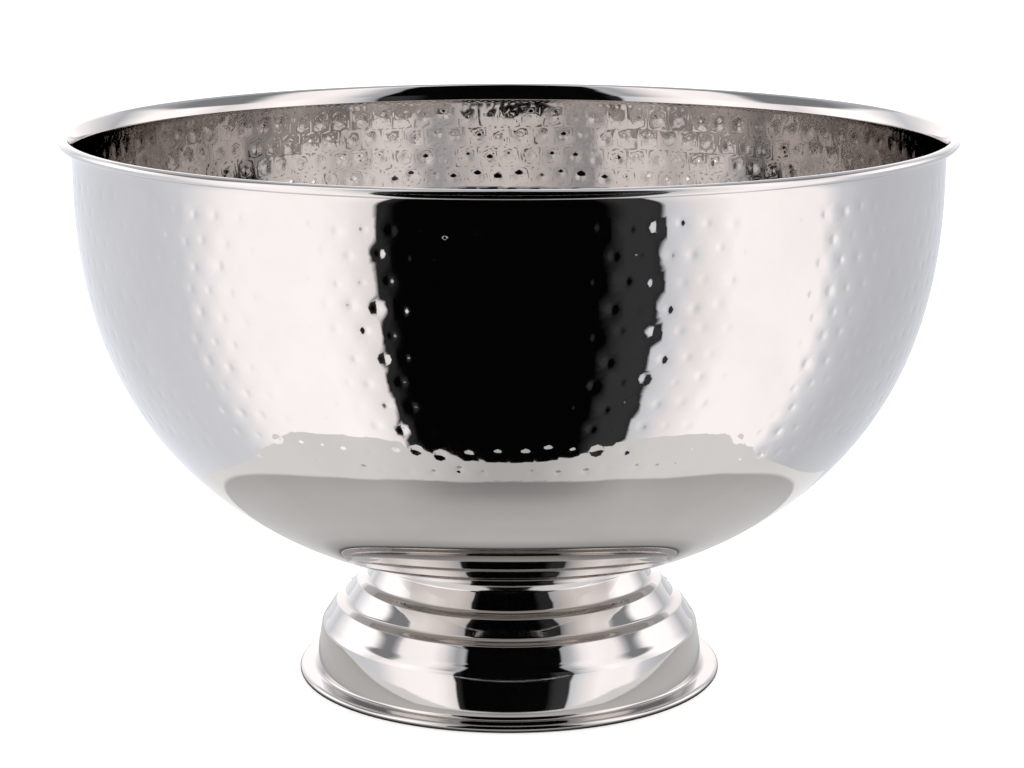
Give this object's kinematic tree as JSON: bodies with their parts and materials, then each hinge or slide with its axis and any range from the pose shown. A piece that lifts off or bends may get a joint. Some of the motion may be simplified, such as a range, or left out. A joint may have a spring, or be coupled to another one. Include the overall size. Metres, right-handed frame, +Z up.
{
  "type": "punch bowl",
  "caption": "Hammered stainless-steel punch bowl: a deep round bowl with a rolled rim, bolted on a low spun bell foot with a flat hemmed flange.",
  "frame": {"origin": "middle of the flat ring that the foot rests on", "axes": "+Z up along the bowl's axis; the bowl is round, so X and Y are any two directions across it"},
  "size_m": [0.37, 0.37, 0.2328],
  "materials": {
    "hammered_steel": "mirror polished stainless sheet with shallow hammered dimples",
    "polished_steel": "mirror polished stainless sheet",
    "plain_steel": "plain drawn and turned stainless"
  },
  "bodies": {
    "root": {"bowl_shell": "hammered_steel", "foot_shell": "polished_steel", "rim_wire": "plain_steel", "weld_stud": "plain_steel", "clamp_disc": "plain_steel", "plain_washer": "plain_steel", "spring_washer": "plain_steel", "hex_nut": "plain_steel"}
  },
  "joints": []
}
